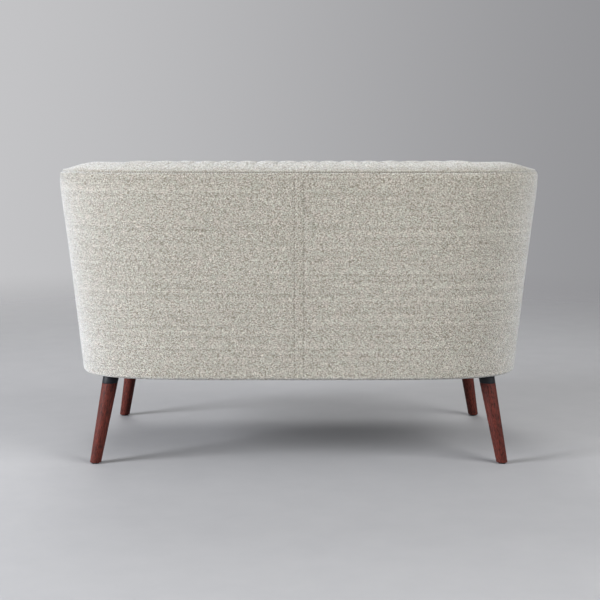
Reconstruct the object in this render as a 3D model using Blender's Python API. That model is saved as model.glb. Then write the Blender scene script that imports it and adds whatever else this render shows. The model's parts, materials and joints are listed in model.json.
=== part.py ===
"""Armless loveseat: a curved upholstered shell with a channelled inside back, on four splayed legs.

Metres, +Z up. The front faces -Y, and the origin is on the floor under the middle of the sofa.
Angles are in degrees round the body in plan: 0 is the right side, 90 the rear, -90 the front.
A depth is measured inwards from the outside face of the body.
"""

import math

import bmesh
import bpy
import numpy as np
from mathutils import Matrix, Vector

# Clearances
FIT = 0.0003  # between pieces that touch
BOARD_GAP = 0.0008  # between the frame's bent boards
LAYER_GAP = 0.0015  # between the soft layers that follow the body's curves
FOAM_GAP = 0.004  # between the back's foam and the sewn pad over it
SEAT_GAP = 0.0012  # between the seat cushion and the inside back
JOINT_ANGLE = 0.05  # left open where two covers or boards meet end to end

# Body outline
BODY_BOTTOM = 0.230  # floor to the underside of the upholstery
BACK_RISE = 0.526  # underside to the seam along the top of the outside back
HALF_WIDTH_BOTTOM = 0.578
HALF_WIDTH_TOP = 0.622
REAR_BOTTOM = 0.305  # rear of the body at its underside
BACK_LEAN = 0.070  # how much further back the top seam is
CORNER_REACH = 0.340  # from the rear forward to where the sides are widest
FRONT_REACH = 0.375  # from the origin to the front of the seat
SQUARENESS = 4.6  # power of the outline's rounded corners
FACET = 4  # degrees to each flat of the outline, the same for all layers
TALL_LEVELS = 5  # heights at which a tall wall takes up the outline

# Wings: the sides sweep down from the back to the seat
WING_START = 17.5  # angle where the rim leaves the level
WING_END = -16.0  # angle of the side seam at the front of the wing
WING_JOINT = 16.0  # angle where a wing panel meets the back's top rail
WING_TUCK = 0.022  # rim below the top edge of the seat at the side seam

# Inside back
CROWN_RISE = 0.0248  # seam to the top of the padded roll, across the back
WING_CROWN = 0.008  # and where the roll thins out along the wings
ROLL_FULL = 27.0  # angle from which the roll has its full height
ROLL_DEPTH = 0.042  # seam in to the top of the padded roll
ROLL_FALL = 0.036  # below the seam, where the roll runs into the inside face
BACK_THICK_TOP = 0.088
BACK_THICK_SEAT = 0.120
WING_THICK = 0.076
WING_THICK_END = 8.0  # angle up to which the wing has its own thickness
BACK_THICK_START = 35.0  # angle from which the back has its own thickness
BACK_TUCK = 0.080  # how far the inside back goes down behind the seat
CHANNELS = 16
CHANNEL_PITCH = 0.0499  # at the roll, in the middle of the back
CHANNEL_FAN = 0.0233  # how much further out the last valley is
CHANNEL_FAN_POWER = 7  # how late that widening comes
CHANNEL_DEPTH = 0.010
CHANNEL_FULLNESS = 0.7  # power of a channel's section, fuller when lower
CHANNEL_FLATS = 3  # across each channel
CHANNEL_AT_ROLL = 0.35  # share of that depth that is left on top of the roll
PAD_SKIN = 0.003  # pad under the valleys
ROLL_OUTSIDE_ANGLES = (0, 30, 60)  # round the roll from the seam to its top
ROLL_INSIDE_ANGLES = (0, 40, 70)  # round the roll from its top to the inside face

# Seat cushion
SEAT_THICK = 0.114
SEAT_CROWN = 0.012
SEAT_EDGE = 0.022  # rounding of the cushion's top edge
SEAT_DRAW = 0.005  # how far the sides draw in at the bottom seam
SEAT_COVER = 0.003
SEAT_EDGE_ANGLES = (0, 45, 90)  # round that edge
SEAT_POINTS = 24  # points round the front, and as many round the rear
SEAT_RINGS = (0.9, 0.65, 0.3)  # shares of the outline at which the crown is drawn
CORNER_TRIALS = 20  # trial angles for each of those points
EAR_SPREAD = 40.0  # angle over which the crown evens out the seat's corners in front of the wings

# Covers and boards
COVER = 0.003
BOARD = 0.004
DUST_COVER = 0.001
DECK_PAD = 0.006

# Base frame
RAIL_HEIGHT = 0.092
RAIL_THICK = 0.022
CENTRE_RAIL_HEIGHT = 0.070
CENTRE_RAIL_WIDTH = 0.024
BLOCK_SPREAD = 9.5  # angle of a corner block each side of its leg
BLOCK_WIDTH = 0.078

# Back frame
FRAME_DROP = 0.012  # top of the frame below the seam
TOP_RAIL_HEIGHT = 0.022
POST_WIDTH = 0.045
POST_DEPTH = 0.030
INNER_POST_X = 0.140
CORNER_POST_INSET = 0.100  # post's middle inside the body's side, at the underside
WING_PANEL = 0.018
LUMBAR_RAIL_RISE = 0.185  # above the underside of the body
LUMBAR_RAIL_HEIGHT = 0.050
BACK_WEBS = 3
BACK_WEB_RISE = 0.275  # lowest web above the underside of the body
BACK_WEB_STEP = 0.072
BACK_WEB_HEIGHT = 0.050
BACK_WEB = 0.002

# Seat springs
SPRINGS = 6
SPRING_MARGIN = 0.128  # from the middle of the last spring to the middle of the corner post
SPRING_WIRE = 0.0036
SPRING_REACH = 0.024  # from the spring's middle line to its bends
SPRING_BENDS = 12
SPRING_BEND_POINTS = 4
CLIP_STEEL = 0.0012
CLIP_WIDTH = 0.014
CLIP_GRIP = 0.003  # from the end of a spring to the back of its clip strip
CLIP_OVERHANG = 0.035  # clip strip past the middle of the last spring

# Legs
LEG_INSET_X = 0.0905  # leg's axis inside the body's side, at the underside
LEG_INSET_Y = 0.087  # leg's axis inside the body's front and rear, at the underside
SPLAY_SIDE_ANGLE = 10.204  # lean of the leg, seen from the front
SPLAY_END_ANGLE = 8.531  # lean of the leg, seen from the side
LEG_TOP_RADIUS = 0.0206
LEG_FOOT_RADIUS = 0.0142
COLLAR_HEIGHT = 0.023
GLIDE_HEIGHT = 0.003
GLIDE_RADIUS = 0.011
GLIDE_SIDES = 16
LEG_SIDES = 24
BOLT_RADIUS = 0.004
BOLT_IN_LEG = 0.040
BOLT_IN_BODY = 0.030
BOLT_SIDES = 12
PLATE_SIZE = 0.050
PLATE_THICK = 0.0025
PLATE_ANGLE = 45.0  # turned so that one side faces the corner
PLATE_BOSS_RADIUS = 0.009
PLATE_BOSS_HEIGHT = 0.010
PLATE_BOSS_SIDES = 16
PLATE_SCREW_SPACING = 0.034
PLATE_SCREW_RADIUS = 0.0022
PLATE_SCREW_LENGTH = 0.022
PLATE_SCREW_SIDES = 8

# Heights and depths that follow from the sizes above
SEAM = BODY_BOTTOM + BACK_RISE
DUST_BOTTOM = BODY_BOTTOM + FIT
DUST_TOP = DUST_BOTTOM + DUST_COVER
PLATE_BOTTOM = DUST_TOP + FIT
PLATE_TOP = PLATE_BOTTOM + PLATE_THICK
RAIL_BOTTOM = DUST_TOP + FIT
RAIL_TOP = RAIL_BOTTOM + RAIL_HEIGHT
CLIP_BOTTOM = RAIL_TOP + FIT
SPRING_HEIGHT = CLIP_BOTTOM + CLIP_STEEL + FIT + SPRING_WIRE / 2
CLIP_TOP = SPRING_HEIGHT + SPRING_WIRE / 2 + FIT + CLIP_STEEL
SEAT_BOTTOM = CLIP_TOP + FIT
DECK_TOP = SEAT_BOTTOM + DECK_PAD
SEAT_TOP = SEAT_BOTTOM + SEAT_THICK
TUCK = SEAT_TOP - BACK_TUCK
FRAME_OUT = COVER + LAYER_GAP
RAIL_IN = FRAME_OUT + RAIL_THICK
BOARD_IN = FRAME_OUT + BOARD
INNER_OUT = BOARD_IN + BOARD_GAP
POST_OUT = RAIL_IN + FIT
POST_IN = POST_OUT + POST_DEPTH
WEB_OUT = POST_IN + BOARD_GAP
WEB_IN = WEB_OUT + BACK_WEB
TOP_RAIL_BOTTOM = SEAM - FRAME_DROP - TOP_RAIL_HEIGHT
CORNER_POST_X = HALF_WIDTH_BOTTOM - CORNER_POST_INSET
LAST_SPRING_X = CORNER_POST_X - SPRING_MARGIN
SPRING_PITCH = 2 * LAST_SPRING_X / (SPRINGS - 1)
CLIP_END_X = LAST_SPRING_X + CLIP_OVERHANG
LOW_MIDDLE = REAR_BOTTOM - CORNER_REACH  # middle of the body's widest line, at the underside
HIGH_MIDDLE = LOW_MIDDLE + BACK_LEAN  # and at the top seam
SPLAY_X = math.tan(math.radians(SPLAY_SIDE_ANGLE))
SPLAY_Y = math.tan(math.radians(SPLAY_END_ANGLE))
REAR_SPAN = (WING_END, 180 - WING_END)
FRONT_SPAN = (-180 - WING_END, WING_END)

UP = Vector((0, 0, 1))
MERGE = 1e-6
CURVE_ANGLE = math.radians(35)


def make_material(name, colour, roughness, metallic=0.0):
    """A plain finish with this colour."""
    material = bpy.data.materials.new(name)
    material.use_nodes = True
    shader = material.node_tree.nodes["Principled BSDF"]
    shader.inputs["Base Color"].default_value = (*colour, 1.0)
    shader.inputs["Roughness"].default_value = roughness
    shader.inputs["Metallic"].default_value = metallic
    return material


def finish(name, mesh_source, material, parent=None):
    """Turn the worked mesh into a named object with its finish."""
    bmesh.ops.recalc_face_normals(mesh_source, faces=mesh_source.faces)
    mesh = bpy.data.meshes.new(name)
    mesh_source.to_mesh(mesh)
    mesh_source.free()
    mesh.shade_smooth()
    mesh.set_sharp_from_angle(angle=CURVE_ANGLE)
    mesh.materials.append(material)
    piece = bpy.data.objects.new(name, mesh)
    piece.parent = parent
    bpy.context.scene.collection.objects.link(piece)
    return piece


def loft(name, loops, material):
    """A closed solid through closed outlines of as many points each, with flat ends."""
    rings = len(loops) - 1
    points = len(loops[0])
    sheet = bmesh.new()
    bmesh.ops.create_grid(sheet, x_segments=rings, y_segments=points, size=0.5)
    for vert in sheet.verts:
        ring = round((vert.co.x + 0.5) * rings)
        point = round((vert.co.y + 0.5) * points) % points
        vert.co = loops[ring][point]
    bmesh.ops.remove_doubles(sheet, verts=sheet.verts, dist=MERGE)
    bmesh.ops.holes_fill(sheet, edges=sheet.edges, sides=0)
    return finish(name, sheet, material)


def change_by(target, tool, operation="DIFFERENCE"):
    """Cut one solid with another, or join them, and keep the tool out of the object."""
    step = target.modifiers.new(tool.name, "BOOLEAN")
    step.operation = operation
    step.object = tool
    tool.hide_render = True
    tool.display_type = "WIRE"


def smooth_step(share):
    """0 to 1 with level ends."""
    share = min(max(share, 0.0), 1.0)
    return share * share * (3 - 2 * share)


def fold(angle):
    """The angle's mirror image on the right-hand side."""
    return min(angle, 180 - angle)


def outline(angle, half_width, front_reach, depth):
    """Point on one rounded-corner outline, from the middle of its widest line."""
    turn = math.radians(angle)
    reach = CORNER_REACH if math.sin(turn) >= 0 else front_reach
    across = abs(math.cos(turn)) / (half_width - depth)
    along = abs(math.sin(turn)) / (reach - depth)
    radius = (across**SQUARENESS + along**SQUARENESS) ** (-1 / SQUARENESS)
    return Vector((radius * math.cos(turn), radius * math.sin(turn)))


def outline_flat(angle, half_width, front_reach, depth):
    """The same point on the outline's flats."""
    start = math.floor(angle / FACET) * FACET
    first = outline(start, half_width, front_reach, depth)
    second = outline(start + FACET, half_width, front_reach, depth)
    ray = Vector((math.cos(math.radians(angle)), math.sin(math.radians(angle))))
    return first.lerp(second, first.cross(ray) / (first.cross(ray) - second.cross(ray)))


def plan(angle, height, depth):
    """Point at this angle round the body, at this height, this deep inside its outside face."""
    low = outline_flat(angle, HALF_WIDTH_BOTTOM, LOW_MIDDLE + FRONT_REACH, depth)
    high = outline_flat(angle, HALF_WIDTH_TOP, HIGH_MIDDLE + FRONT_REACH, depth)
    low.y += LOW_MIDDLE
    high.y += HIGH_MIDDLE
    point = low.lerp(high, (height - BODY_BOTTOM) / BACK_RISE)
    return Vector((point.x, point.y, height))


def outline_angle(x, half_width, reach):
    """Angle of the point of an outline that is this far to the side, at its rear."""
    along = reach * (1 - abs(x / half_width) ** SQUARENESS) ** (1 / SQUARENESS)
    return math.degrees(math.atan2(along, x))


def rear_angle(x):
    """Angle of the rear edge of the underside, this far to the side."""
    return outline_angle(x, HALF_WIDTH_BOTTOM, CORNER_REACH)


def front_angle(x):
    """Angle of the front edge of the underside, this far to the side."""
    return -outline_angle(x, HALF_WIDTH_BOTTOM, LOW_MIDDLE + FRONT_REACH)


def round_angles(start, end):
    """The ends and the corners of the outline's flats between them."""
    first = math.floor(start / FACET + MERGE) + 1
    last = math.ceil(end / FACET - MERGE)
    return [start, *(step * FACET for step in range(first, last)), end]


def sweep(name, material, angles, section):
    """A solid whose section, given as depths and heights at each angle, follows the body."""
    loops = [[plan(angle, z, depth) for depth, z in section(angle)] for angle in angles]
    return loft(name, loops, material)


def wall(name, material, span, depths, bottom, top, levels=2):
    """A board that follows the body between two depths; its top may change with the angle."""

    def section(angle):
        heights = np.linspace(bottom, top(angle), levels)
        return [(depths[0], z) for z in heights] + [(depths[1], z) for z in heights[::-1]]

    return sweep(name, material, round_angles(*span), section)


def level(height):
    """A top that is the same all along a wall."""
    return lambda angle: height


def rim(angle):
    """Height of the seam along the top of the outside, level at the back and swept down the wings."""
    share = smooth_step((WING_START - fold(angle)) / (WING_START - WING_END))
    return SEAM + (SEAT_TOP - WING_TUCK - SEAM) * share


def frame_rim(angle):
    """Top of the frame's boards under the padding."""
    return rim(angle) - FRAME_DROP


def inside_thickness(angle, height):
    """Thickness of the back or wing, without its channels."""
    back = BACK_THICK_TOP + (BACK_THICK_SEAT - BACK_THICK_TOP) * (SEAM - height) / (SEAM - SEAT_TOP)
    share = (fold(angle) - WING_THICK_END) / (BACK_THICK_START - WING_THICK_END)
    return WING_THICK + (back - WING_THICK) * smooth_step(share)


def crown_rise(angle):
    """Height of the padded roll above the seam."""
    share = smooth_step((fold(angle) - WING_START) / (ROLL_FULL - WING_START))
    return WING_CROWN + (CROWN_RISE - WING_CROWN) * share


def inside_line(angle, inset, puff=0.0):
    """Depths and heights from the top seam over the roll and down the inside to behind the seat."""
    seam = rim(angle)
    crown = crown_rise(angle) - inset + puff * CHANNEL_AT_ROLL
    low = seam - ROLL_FALL
    face = inside_thickness(angle, low) - inset + puff
    line = []
    for turn in np.radians(ROLL_OUTSIDE_ANGLES):
        line.append((ROLL_DEPTH - (ROLL_DEPTH - inset) * math.cos(turn), seam + crown * math.sin(turn)))
    for turn in np.radians(ROLL_INSIDE_ANGLES):
        depth = ROLL_DEPTH + (face - ROLL_DEPTH) * math.sin(turn)
        line.append((depth, low + (ROLL_FALL + crown) * math.cos(turn)))
    for height in (low, TUCK):
        line.append((inside_thickness(angle, height) - inset + puff, height))
    return line


def channel_valley(index):
    """Sideways place of a valley on the roll, counted from the middle; a fraction lies between two."""
    fan = (abs(index) / (CHANNELS / 2)) ** CHANNEL_FAN_POWER
    return CHANNEL_PITCH * index + CHANNEL_FAN * math.copysign(fan, index)


def channel_steps():
    """Angles across the channels from right to left, each with the height of the puff there."""
    steps = []
    half_width, reach = HALF_WIDTH_TOP - ROLL_DEPTH, CORNER_REACH - ROLL_DEPTH
    for index in np.arange(CHANNELS * CHANNEL_FLATS + 1) / CHANNEL_FLATS - CHANNELS / 2:
        angle = 180 - outline_angle(channel_valley(index), half_width, reach)
        puff = CHANNEL_DEPTH * abs(math.sin(math.pi * index)) ** CHANNEL_FULLNESS
        steps.append((angle, puff))
    return sorted(steps)


def channelled_back(material):
    """The inside back and wings in one sewn pad, with stuffed channels across the back."""
    channels = channel_steps()
    first, last = channels[0][0], channels[-1][0]
    right = [(angle, 0.0) for angle in round_angles(REAR_SPAN[0] + JOINT_ANGLE, first)[:-1]]
    left = [(angle, 0.0) for angle in round_angles(last, REAR_SPAN[1] - JOINT_ANGLE)[1:]]
    puffs = dict(right + channels + left)

    def section(angle):
        return inside_line(angle, 0.0, puffs[angle]) + inside_line(angle, PAD_SKIN)[::-1]

    return sweep("channelled_inside_back", material, list(puffs), section)


def back_foam(material):
    """Foam over the back frame and wings, from the top seam down to behind the seat."""
    inset = PAD_SKIN + FOAM_GAP

    def section(angle):
        share = smooth_step((fold(angle) - WING_THICK_END) / (WING_JOINT - WING_THICK_END))
        frame = INNER_OUT + WING_PANEL + (WEB_IN - INNER_OUT - WING_PANEL) * share + LAYER_GAP
        seated = smooth_step((fold(angle) - WING_JOINT) / (BACK_THICK_START - WING_JOINT))
        over = frame_rim(angle) + LAYER_GAP + (FIT - LAYER_GAP) * seated
        return inside_line(angle, inset) + [(frame, TUCK), (frame, over), (inset, over)]

    angles = round_angles(REAR_SPAN[0] + JOINT_ANGLE, REAR_SPAN[1] - JOINT_ANGLE)
    return sweep("back_foam", material, angles, section)


def outside_covers(material):
    """Fabric on the outside, in two halves that meet at the middle of the back, and along the front."""
    depths = (0.0, COVER)

    def top(angle):
        return rim(angle) - FIT

    right = (WING_END, 90 - JOINT_ANGLE)
    left = (90 + JOINT_ANGLE, 180 - WING_END)
    wall("outside_cover_right", material, right, depths, BODY_BOTTOM, top, TALL_LEVELS)
    wall("outside_cover_left", material, left, depths, BODY_BOTTOM, top, TALL_LEVELS)
    front = (FRONT_SPAN[0] + JOINT_ANGLE, FRONT_SPAN[1] - JOINT_ANGLE)
    wall("front_rail_cover", material, front, depths, BODY_BOTTOM, level(SEAT_BOTTOM - FIT))


def corner_angles(start, end, count):
    """Angles from start to end that crowd together where the outline turns its corners."""
    angles = np.linspace(start, end, CORNER_TRIALS * count)
    across = np.cos(np.radians(angles)) / HALF_WIDTH_BOTTOM
    along = np.sin(np.radians(angles)) / CORNER_REACH
    power = SQUARENESS / 2
    turns = np.arctan2(np.sign(along) * np.abs(along) ** power, np.sign(across) * np.abs(across) ** power)
    turns = np.unwrap(turns)
    return np.interp(np.linspace(turns[0], turns[-1], count), turns, angles)


def seat_depth(angle, height):
    """Depth of the seat's edge where it lies inside the wings and the back."""
    share = (fold(angle) - WING_THICK_END) / (BACK_THICK_START - WING_THICK_END)
    return inside_thickness(angle, height) + CHANNEL_DEPTH * smooth_step(share) + SEAT_GAP


def seat_loop(height, inset, scale=1.0):
    """Outline of the T-shaped seat at one height: full width in front of the wings, inside them behind."""
    ends = (FRONT_SPAN[0] + 2 * JOINT_ANGLE, FRONT_SPAN[1] - 2 * JOINT_ANGLE)
    loop = []
    for angle in corner_angles(*ends, SEAT_POINTS):
        ear = smooth_step(1 - min(angle - ends[0], ends[1] - angle) / EAR_SPREAD) if scale < 1 else 0.0
        loop.append(plan(angle, height, inset + ear * seat_depth(angle, height)))
    for angle in corner_angles(ends[1], ends[0] + 360, SEAT_POINTS):
        loop.append(plan(angle, height, inset + seat_depth(angle, height)))
    middle = Vector((0, (loop[SEAT_POINTS // 2].y + loop[-SEAT_POINTS // 2].y) / 2, height))
    return [middle + (point - middle) * scale for point in loop]


def seat_dome(bottom, skin):
    """Outlines from the bottom seam up the drawn-in sides, over the edge and up to the crown."""
    top = SEAT_TOP - skin
    loops = [
        seat_loop(bottom, SEAT_DRAW + skin),
        seat_loop(SEAT_BOTTOM + SEAT_THICK / 2, skin),
    ]
    for turn in np.radians(SEAT_EDGE_ANGLES):
        inset = SEAT_EDGE * (1 - math.cos(turn))
        loops.append(seat_loop(top - SEAT_EDGE * (1 - math.sin(turn)), inset + skin))
    for scale in SEAT_RINGS:
        loops.append(seat_loop(top + SEAT_CROWN * (1 - scale**2), SEAT_EDGE + skin, scale))
    return loops


def seat_cushion(cover_material, foam_material):
    """The seat's foam and the sewn cover over it, open underneath."""
    outer = seat_dome(SEAT_BOTTOM, 0.0)
    inner = seat_dome(SEAT_BOTTOM, SEAT_COVER)
    loft("seat_cover", outer[::-1] + inner, cover_material)
    loft("seat_foam", seat_dome(DECK_TOP + FIT, SEAT_COVER + FIT), foam_material)


def leg_places():
    """Name and direction of each leg: +1 is right and rear."""
    for side, side_name in ((1, "right"), (-1, "left")):
        for end, end_name in ((1, "rear"), (-1, "front")):
            yield f"{end_name}_{side_name}", side, end


def leg_top(side, end):
    """Where a leg's axis meets the underside of the body."""
    y = REAR_BOTTOM - LEG_INSET_Y if end > 0 else LEG_INSET_Y - FRONT_REACH
    return Vector((side * (HALF_WIDTH_BOTTOM - LEG_INSET_X), y, BODY_BOTTOM))


def block_span(side, end):
    """Angles between which a corner block fills the base frame over its leg."""
    top = leg_top(1, end)
    middle = math.degrees(math.atan2(top.y - LOW_MIDDLE, top.x))
    if side < 0:
        middle = 180 - middle
    return middle - BLOCK_SPREAD, middle + BLOCK_SPREAD


def leg_frame(name, side, end):
    """An empty where the leg's axis meets the floor, with its Z axis up the leg."""
    axis = Vector((-side * SPLAY_X, -end * SPLAY_Y, 1.0))
    frame = bpy.data.objects.new(f"leg_axis_{name}", None)
    frame.location = leg_top(side, end) - axis * BODY_BOTTOM
    frame.rotation_mode = "QUATERNION"
    frame.rotation_quaternion = axis.to_track_quat("Z", "Y")
    bpy.context.scene.collection.objects.link(frame)
    return frame


def up_leg(height):
    """Distance up the leg's axis at a height above the floor."""
    return height * Vector((SPLAY_X, SPLAY_Y, 1.0)).length


def leg_radius(along):
    """Radius of the tapered leg at a distance up its axis."""
    return LEG_FOOT_RADIUS + (LEG_TOP_RADIUS - LEG_FOOT_RADIUS) * along / up_leg(BODY_BOTTOM)


def add_round(mesh_source, start, end, radii, sides, place=Matrix()):
    """Add a round bar or cone along Z, from start to end."""
    middle = Matrix.Translation((0, 0, (start + end) / 2))
    bmesh.ops.create_cone(
        mesh_source, cap_ends=True, segments=sides, radius1=radii[0], radius2=radii[1],
        depth=end - start, matrix=place @ middle,
    )


def cut_flat(mesh_source, height, up, keep_above):
    """Cut a solid flat, square to the direction up, where its Z axis is at this height."""
    parts = mesh_source.verts[:] + mesh_source.edges[:] + mesh_source.faces[:]
    bmesh.ops.bisect_plane(
        mesh_source, geom=parts, plane_co=(0, 0, height), plane_no=up,
        clear_inner=keep_above, clear_outer=not keep_above,
    )
    bmesh.ops.holes_fill(mesh_source, edges=mesh_source.edges, sides=0)


def floor_up(frame):
    """The direction straight up from the floor, as a leaning leg sees it."""
    return frame.rotation_quaternion.inverted() @ UP


def leg(name, frame, material):
    """Turned, tapered leg, cut level at its foot and under its collar."""
    top = up_leg(BODY_BOTTOM - COLLAR_HEIGHT)
    start = -LEG_FOOT_RADIUS
    end = top + LEG_TOP_RADIUS
    body = bmesh.new()
    add_round(body, start, end, (leg_radius(start), leg_radius(end)), LEG_SIDES)
    cut_flat(body, up_leg(GLIDE_HEIGHT + FIT), floor_up(frame), keep_above=True)
    cut_flat(body, top, floor_up(frame), keep_above=False)
    return finish(f"leg_{name}", body, material, frame)


def collar(name, frame, material):
    """Collar between the leg and the body, level above and below."""
    bottom = up_leg(BODY_BOTTOM - COLLAR_HEIGHT + FIT)
    start = bottom - LEG_TOP_RADIUS
    end = up_leg(BODY_BOTTOM) + LEG_TOP_RADIUS
    ring = bmesh.new()
    add_round(ring, start, end, (leg_radius(start), leg_radius(end)), LEG_SIDES)
    cut_flat(ring, bottom, floor_up(frame), keep_above=True)
    cut_flat(ring, up_leg(BODY_BOTTOM), floor_up(frame), keep_above=False)
    return finish(f"leg_collar_{name}", ring, material, frame)


def bolt(name, frame, material, clearance=0.0):
    """Hanger bolt up the leg's axis, or with a clearance the hole that it goes in."""
    start = up_leg(BODY_BOTTOM - COLLAR_HEIGHT) - BOLT_IN_LEG - clearance
    end = up_leg(BODY_BOTTOM) + BOLT_IN_BODY + clearance
    rod = bmesh.new()
    add_round(rod, start, end, (BOLT_RADIUS + clearance, BOLT_RADIUS + clearance), BOLT_SIDES)
    return finish(name, rod, material, frame)


def glide(name, place, material):
    """Small disc that keeps the foot off the floor."""
    disc = bmesh.new()
    add_round(disc, 0.0, GLIDE_HEIGHT, (GLIDE_RADIUS - GLIDE_HEIGHT / 2, GLIDE_RADIUS), GLIDE_SIDES)
    piece = finish(f"foot_glide_{name}", disc, material)
    piece.location = (place.x, place.y, 0.0)


def plate_fixings(name, frame, turn, top, clearance, material):
    """The plate's threaded boss, up the leg's axis, and its four wood screws."""
    fixings = bmesh.new()
    world = Matrix.Translation(frame.location) @ frame.rotation_quaternion.to_matrix().to_4x4()
    middle = PLATE_BOTTOM + PLATE_THICK / 2
    radius = PLATE_BOSS_RADIUS + clearance
    boss_end = up_leg(PLATE_TOP) + PLATE_BOSS_HEIGHT + clearance
    add_round(fixings, up_leg(middle) - radius, boss_end, (radius, radius), PLATE_BOSS_SIDES, world)
    cut_flat(fixings, middle, UP, keep_above=True)
    for x in (-PLATE_SCREW_SPACING / 2, PLATE_SCREW_SPACING / 2):
        for y in (-PLATE_SCREW_SPACING / 2, PLATE_SCREW_SPACING / 2):
            place = Matrix.Translation(top) @ turn @ Matrix.Translation((x, y, -BODY_BOTTOM))
            radii = (PLATE_SCREW_RADIUS + clearance, PLATE_SCREW_RADIUS / 2 + clearance)
            end = PLATE_TOP + PLATE_SCREW_LENGTH + clearance
            add_round(fixings, middle, end, radii, PLATE_SCREW_SIDES, place)
    return finish(name, fixings, material)


def leg_plate(name, turn, top, material):
    """Square steel plate under the corner block, one side facing the corner."""
    plate = bmesh.new()
    size = Matrix.Diagonal((PLATE_SIZE, PLATE_SIZE, PLATE_THICK, 1))
    place = Matrix.Translation((top.x, top.y, PLATE_BOTTOM + PLATE_THICK / 2)) @ turn
    bmesh.ops.create_cube(plate, size=1.0, matrix=place @ size)
    return finish(f"leg_plate_{name}", plate, material)


def corner_block(name, side, end, material):
    """Shaped hardwood block that fills the base frame's corner over a leg."""
    start, finish_angle = block_span(side, end)
    loops = []
    for height in (PLATE_TOP + FIT, RAIL_TOP):
        outer = [plan(angle, height, FRAME_OUT) for angle in round_angles(start, finish_angle)]
        inner = [plan(angle, height, FRAME_OUT + BLOCK_WIDTH) for angle in (finish_angle, start)]
        loops.append(outer + inner)
    return loft(f"corner_block_{name}", loops, material)


def legs(wood, black, steel, block_wood, dust):
    """Each leg with its collar, glide, bolt, plate and the corner block that it is screwed to."""
    for name, side, end in leg_places():
        frame = leg_frame(name, side, end)
        top = leg_top(side, end)
        turn = Matrix.Rotation(math.radians(PLATE_ANGLE), 4, "Z")
        pieces = [leg(name, frame, wood), collar(name, frame, black)]
        bolt(f"hanger_bolt_{name}", frame, steel)
        glide(name, frame.location, black)
        plate = leg_plate(name, turn, top, steel)
        change_by(plate, plate_fixings(f"plate_fixings_{name}", frame, turn, top, 0.0, steel), "UNION")
        block = corner_block(name, side, end, block_wood)
        change_by(block, plate_fixings(f"fixing_holes_{name}", frame, turn, top, FIT, block_wood))
        hole = bolt(f"bolt_hole_{name}", frame, steel, FIT)
        for piece in [*pieces, plate, block, dust]:
            change_by(piece, hole)


def dust_cover(material):
    """Thin cloth under the base."""
    angles = np.arange(0, 360, FACET)
    loops = [[plan(angle, height, FRAME_OUT) for angle in angles] for height in (DUST_BOTTOM, DUST_TOP)]
    return loft("dust_cover", loops, material)


def base_rails(material):
    """Bent rails between the corner blocks, and one straight rail under the middle of the seat."""
    side_start, rear_start = (angle + JOINT_ANGLE for angle in (block_span(1, -1)[1], block_span(1, 1)[1]))
    front_end, side_end = (angle - JOINT_ANGLE for angle in (block_span(1, -1)[0], block_span(1, 1)[0]))
    depths = (FRAME_OUT, RAIL_IN)
    top = level(RAIL_TOP)
    wall("rear_rail", material, (rear_start, 180 - rear_start), depths, RAIL_BOTTOM, top)
    wall("front_rail", material, (-180 - front_end, front_end), depths, RAIL_BOTTOM, top)
    wall("side_rail_right", material, (side_start, side_end), depths, RAIL_BOTTOM, top)
    wall("side_rail_left", material, (180 - side_end, 180 - side_start), depths, RAIL_BOTTOM, top)
    loops = []
    for height in (RAIL_BOTTOM, RAIL_BOTTOM + CENTRE_RAIL_HEIGHT):
        ends = [plan(angle, height, RAIL_IN + FIT).y for angle in (-90, 90)]
        half = CENTRE_RAIL_WIDTH / 2
        corners = ((-half, ends[0]), (half, ends[0]), (half, ends[1]), (-half, ends[1]))
        loops.append([Vector((x, y, height)) for x, y in corners])
    loft("centre_rail", loops, material)


def clip_strips(material):
    """Folded steel strips along the front and rear rails, open inwards for the ends of the springs."""
    outer, inner, wall_in = INNER_OUT, INNER_OUT + CLIP_WIDTH, INNER_OUT + CLIP_STEEL
    low, high = CLIP_BOTTOM + CLIP_STEEL, CLIP_TOP - CLIP_STEEL
    section = [
        (outer, CLIP_BOTTOM), (inner, CLIP_BOTTOM), (inner, low), (wall_in, low),
        (wall_in, high), (inner, high), (inner, CLIP_TOP), (outer, CLIP_TOP),
    ]
    rear, front = rear_angle(CLIP_END_X), front_angle(CLIP_END_X)
    for name, span in (("rear", (rear, 180 - rear)), ("front", (-180 - front, front))):
        sweep(f"spring_clip_strip_{name}", material, round_angles(*span), lambda angle: section)


def spring(name, x, material):
    """Sinuous wire spring from the front clip strip to the rear one."""
    depth = INNER_OUT + CLIP_STEEL + CLIP_GRIP
    end_x = abs(x) + SPRING_REACH
    front = plan(front_angle(end_x), SPRING_HEIGHT, depth).y
    rear = plan(rear_angle(end_x), SPRING_HEIGHT, depth).y
    curve = bpy.data.curves.new(name, "CURVE")
    curve.dimensions = "3D"
    curve.bevel_depth = SPRING_WIRE / 2
    curve.bevel_resolution = 0
    curve.use_fill_caps = True
    wire = curve.splines.new("POLY")
    shares = np.linspace(0, 1, SPRING_BENDS * SPRING_BEND_POINTS + 1)
    wire.points.add(len(shares) - 1)
    for point, share in zip(wire.points, shares):
        side = SPRING_REACH * math.cos(math.pi * SPRING_BENDS * share)
        point.co = (x + side, front + (rear - front) * share, SPRING_HEIGHT, 1)
    curve.materials.append(material)
    piece = bpy.data.objects.new(name, curve)
    bpy.context.scene.collection.objects.link(piece)


def seat_springs(material):
    """The row of springs across the seat."""
    for index in range(SPRINGS):
        spring(f"seat_spring_{index + 1}", index * SPRING_PITCH - LAST_SPRING_X, material)


def deck_pad(material):
    """Felt over the springs and clip strips, under the seat foam."""
    inset = SEAT_DRAW + SEAT_COVER + LAYER_GAP
    loft("deck_pad", [seat_loop(SEAT_BOTTOM, inset), seat_loop(DECK_TOP, inset)], material)


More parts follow.
